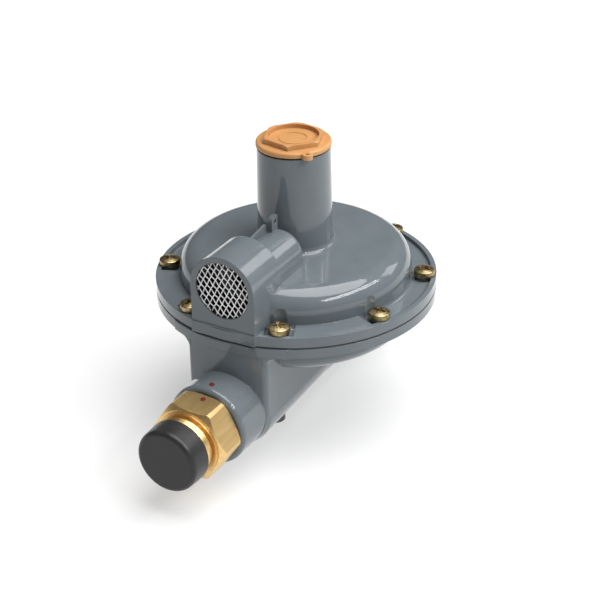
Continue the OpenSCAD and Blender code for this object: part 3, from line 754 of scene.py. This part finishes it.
def add_fillets():
    for end, sx, rim in (("inlet", -1, PAD_R), ("outlet", 1, FLANGE_R)):
        for side, sy in (("left", 1), ("right", -1)):
            rings = [[(TOWER_X + sx * (point.x + out.x * off), sy * (point.y + out.y * off),
                       PARTING_Z + z) for off, z in fillet_profile(point, out, rim)]
                     for point, out in wall_line()]
            dress(as_object(f"fillet_{end}_{side}", swept(rings)), "lower_paint", "housing",
                  "grey_paint")


# Threads cut into copies of the solids

def groove(axis, radius, span, pitch, depth, outward):
    """Tool of a screw thread's groove, which runs out at the span's far end."""
    turns = abs(span[1] - span[0]) / pitch
    count = int(turns * GROOVE_STEPS)
    sign = 1 if outward else -1
    mouth, floor = GROOVE_MOUTH * pitch, GROOVE_FLOOR * pitch
    rings = []
    for i in range(count + 1):
        t = i / count
        fade = min(1.0, (1 - t) * turns / GROOVE_FADE_TURNS)
        middle = span[0] + (span[1] - span[0]) * t
        angle = math.tau * i / GROOVE_STEPS
        profile = ((-mouth, -GROOVE_PROUD), (mouth, -GROOVE_PROUD),
                   (floor, depth * fade), (-floor, depth * fade))
        rings.append([axis(middle + along, radius + sign * across, angle)
                      for along, across in profile])
    return as_object("groove", swept(rings))


def add_thread(node, name, tool, material, body, slot):
    piece = copied(node, name)
    carve(piece, tool)
    keep_normals(dress(piece, material, body, slot, node), node)


def add_threads():
    add_thread("inlet_fitting", "threaded_nipple",
               groove(about_x, NIPPLE_R, NIPPLE_X, PIPE_PITCH, PIPE_DEPTH, False),
               "brass", "housing", "brass")
    add_thread("closing_cap", "threaded_cap",
               groove(about_tower, SKIRT_R, SKIRT_Z, SKIRT_PITCH, SKIRT_DEPTH, False),
               "orange", "cap", "orange_plastic")
    add_thread("lower_case", "threaded_body",
               groove(about_x, OUTLET_R, OUTLET_X, PIPE_PITCH, PIPE_DEPTH, True),
               "lower_paint", "housing", "grey_paint")


# Camera, floor and light

def toward(azimuth, elevation):
    """Direction from the object to a camera or lamp. Azimuth 0 is toward -Y and -90 toward -X."""
    a, e = math.radians(azimuth), math.radians(elevation)
    return Vector((math.sin(a) * math.cos(e), -math.cos(a) * math.cos(e), math.sin(e)))


def add_camera():
    back = toward(CAMERA_AZIMUTH, CAMERA_ELEVATION)
    azimuth, roll = math.radians(CAMERA_AZIMUTH), math.radians(CAMERA_ROLL)
    level = Vector((math.cos(azimuth), math.sin(azimuth), 0))
    rise = back.cross(level)
    right = level * math.cos(roll) + rise * math.sin(roll)
    up = rise * math.cos(roll) - level * math.sin(roll)
    data = bpy.data.cameras.new("photo_camera")
    data.lens, data.sensor_width = CAMERA_LENS, CAMERA_SENSOR
    data.clip_start, data.clip_end = CAMERA_CLIP
    camera = bpy.data.objects.new("photo_camera", data)
    turn = Matrix((right, up, back)).transposed().to_4x4()
    camera.matrix_world = Matrix.Translation(CAMERA_PLACE) @ turn
    bpy.context.scene.collection.objects.link(camera)
    bpy.context.scene.camera = camera


def add_stage():
    """Pale floor that glows a little, so that it stays white under the soft light."""
    lowest = cad_box[0].z
    bpy.ops.mesh.primitive_plane_add(size=FLOOR_SIZE, location=(TOWER_X * MM, 0, lowest))
    floor = bpy.context.object
    floor.name = "floor"
    shader = Shader("pale_floor", Roughness=0.9, Specular_IOR_Level=0.1,
                    Emission_Color=(1, 1, 1, 1), Emission_Strength=FLOOR_GLOW)
    shader.set("Base Color", shader.fade(shader.noise(60, 2), (0.4, 0.4, 0.4), (0.42, 0.42, 0.42)))
    floor.data.materials.append(shader.material)


def add_lamp(name, data, direction):
    """Puts a lamp's data into the scene, facing the object."""
    lamp = bpy.data.objects.new(name, data)
    lamp.location = Vector((TOWER_X * MM, 0, LAMP_TARGET_Z)) + direction * LAMP_DISTANCE
    lamp.rotation_mode = "QUATERNION"
    lamp.rotation_quaternion = (-direction).to_track_quat("-Z", "Y")
    bpy.context.scene.collection.objects.link(lamp)


def add_light():
    world = bpy.data.worlds.new("studio")
    world.use_nodes = True
    background = world.node_tree.nodes["Background"]
    background.inputs["Color"].default_value = (1, 1, 1, 1)
    background.inputs["Strength"].default_value = WORLD_STRENGTH
    bpy.context.scene.world = world
    for name, (azimuth, elevation, width, height, radiance) in SOFTBOXES.items():
        data = bpy.data.lights.new(name, "AREA")
        data.shape, data.size, data.size_y = "RECTANGLE", width, height
        data.energy = radiance * math.pi * width * height
        add_lamp(name, data, toward(azimuth, elevation))
    sky = bpy.data.lights.new("overhead", "SUN")
    sky.energy, sky.angle = SKY_ENERGY, math.radians(SKY_ANGLE)
    add_lamp("overhead", sky, toward(SKY_AZIMUTH, SKY_ELEVATION))
    bpy.context.scene.view_settings.view_transform = "Standard"


add_camera()
add_screws()
add_net()
add_springs()
add_diaphragm()
add_seals()
add_marks()
add_fillets()
add_threads()
add_stage()
add_light()
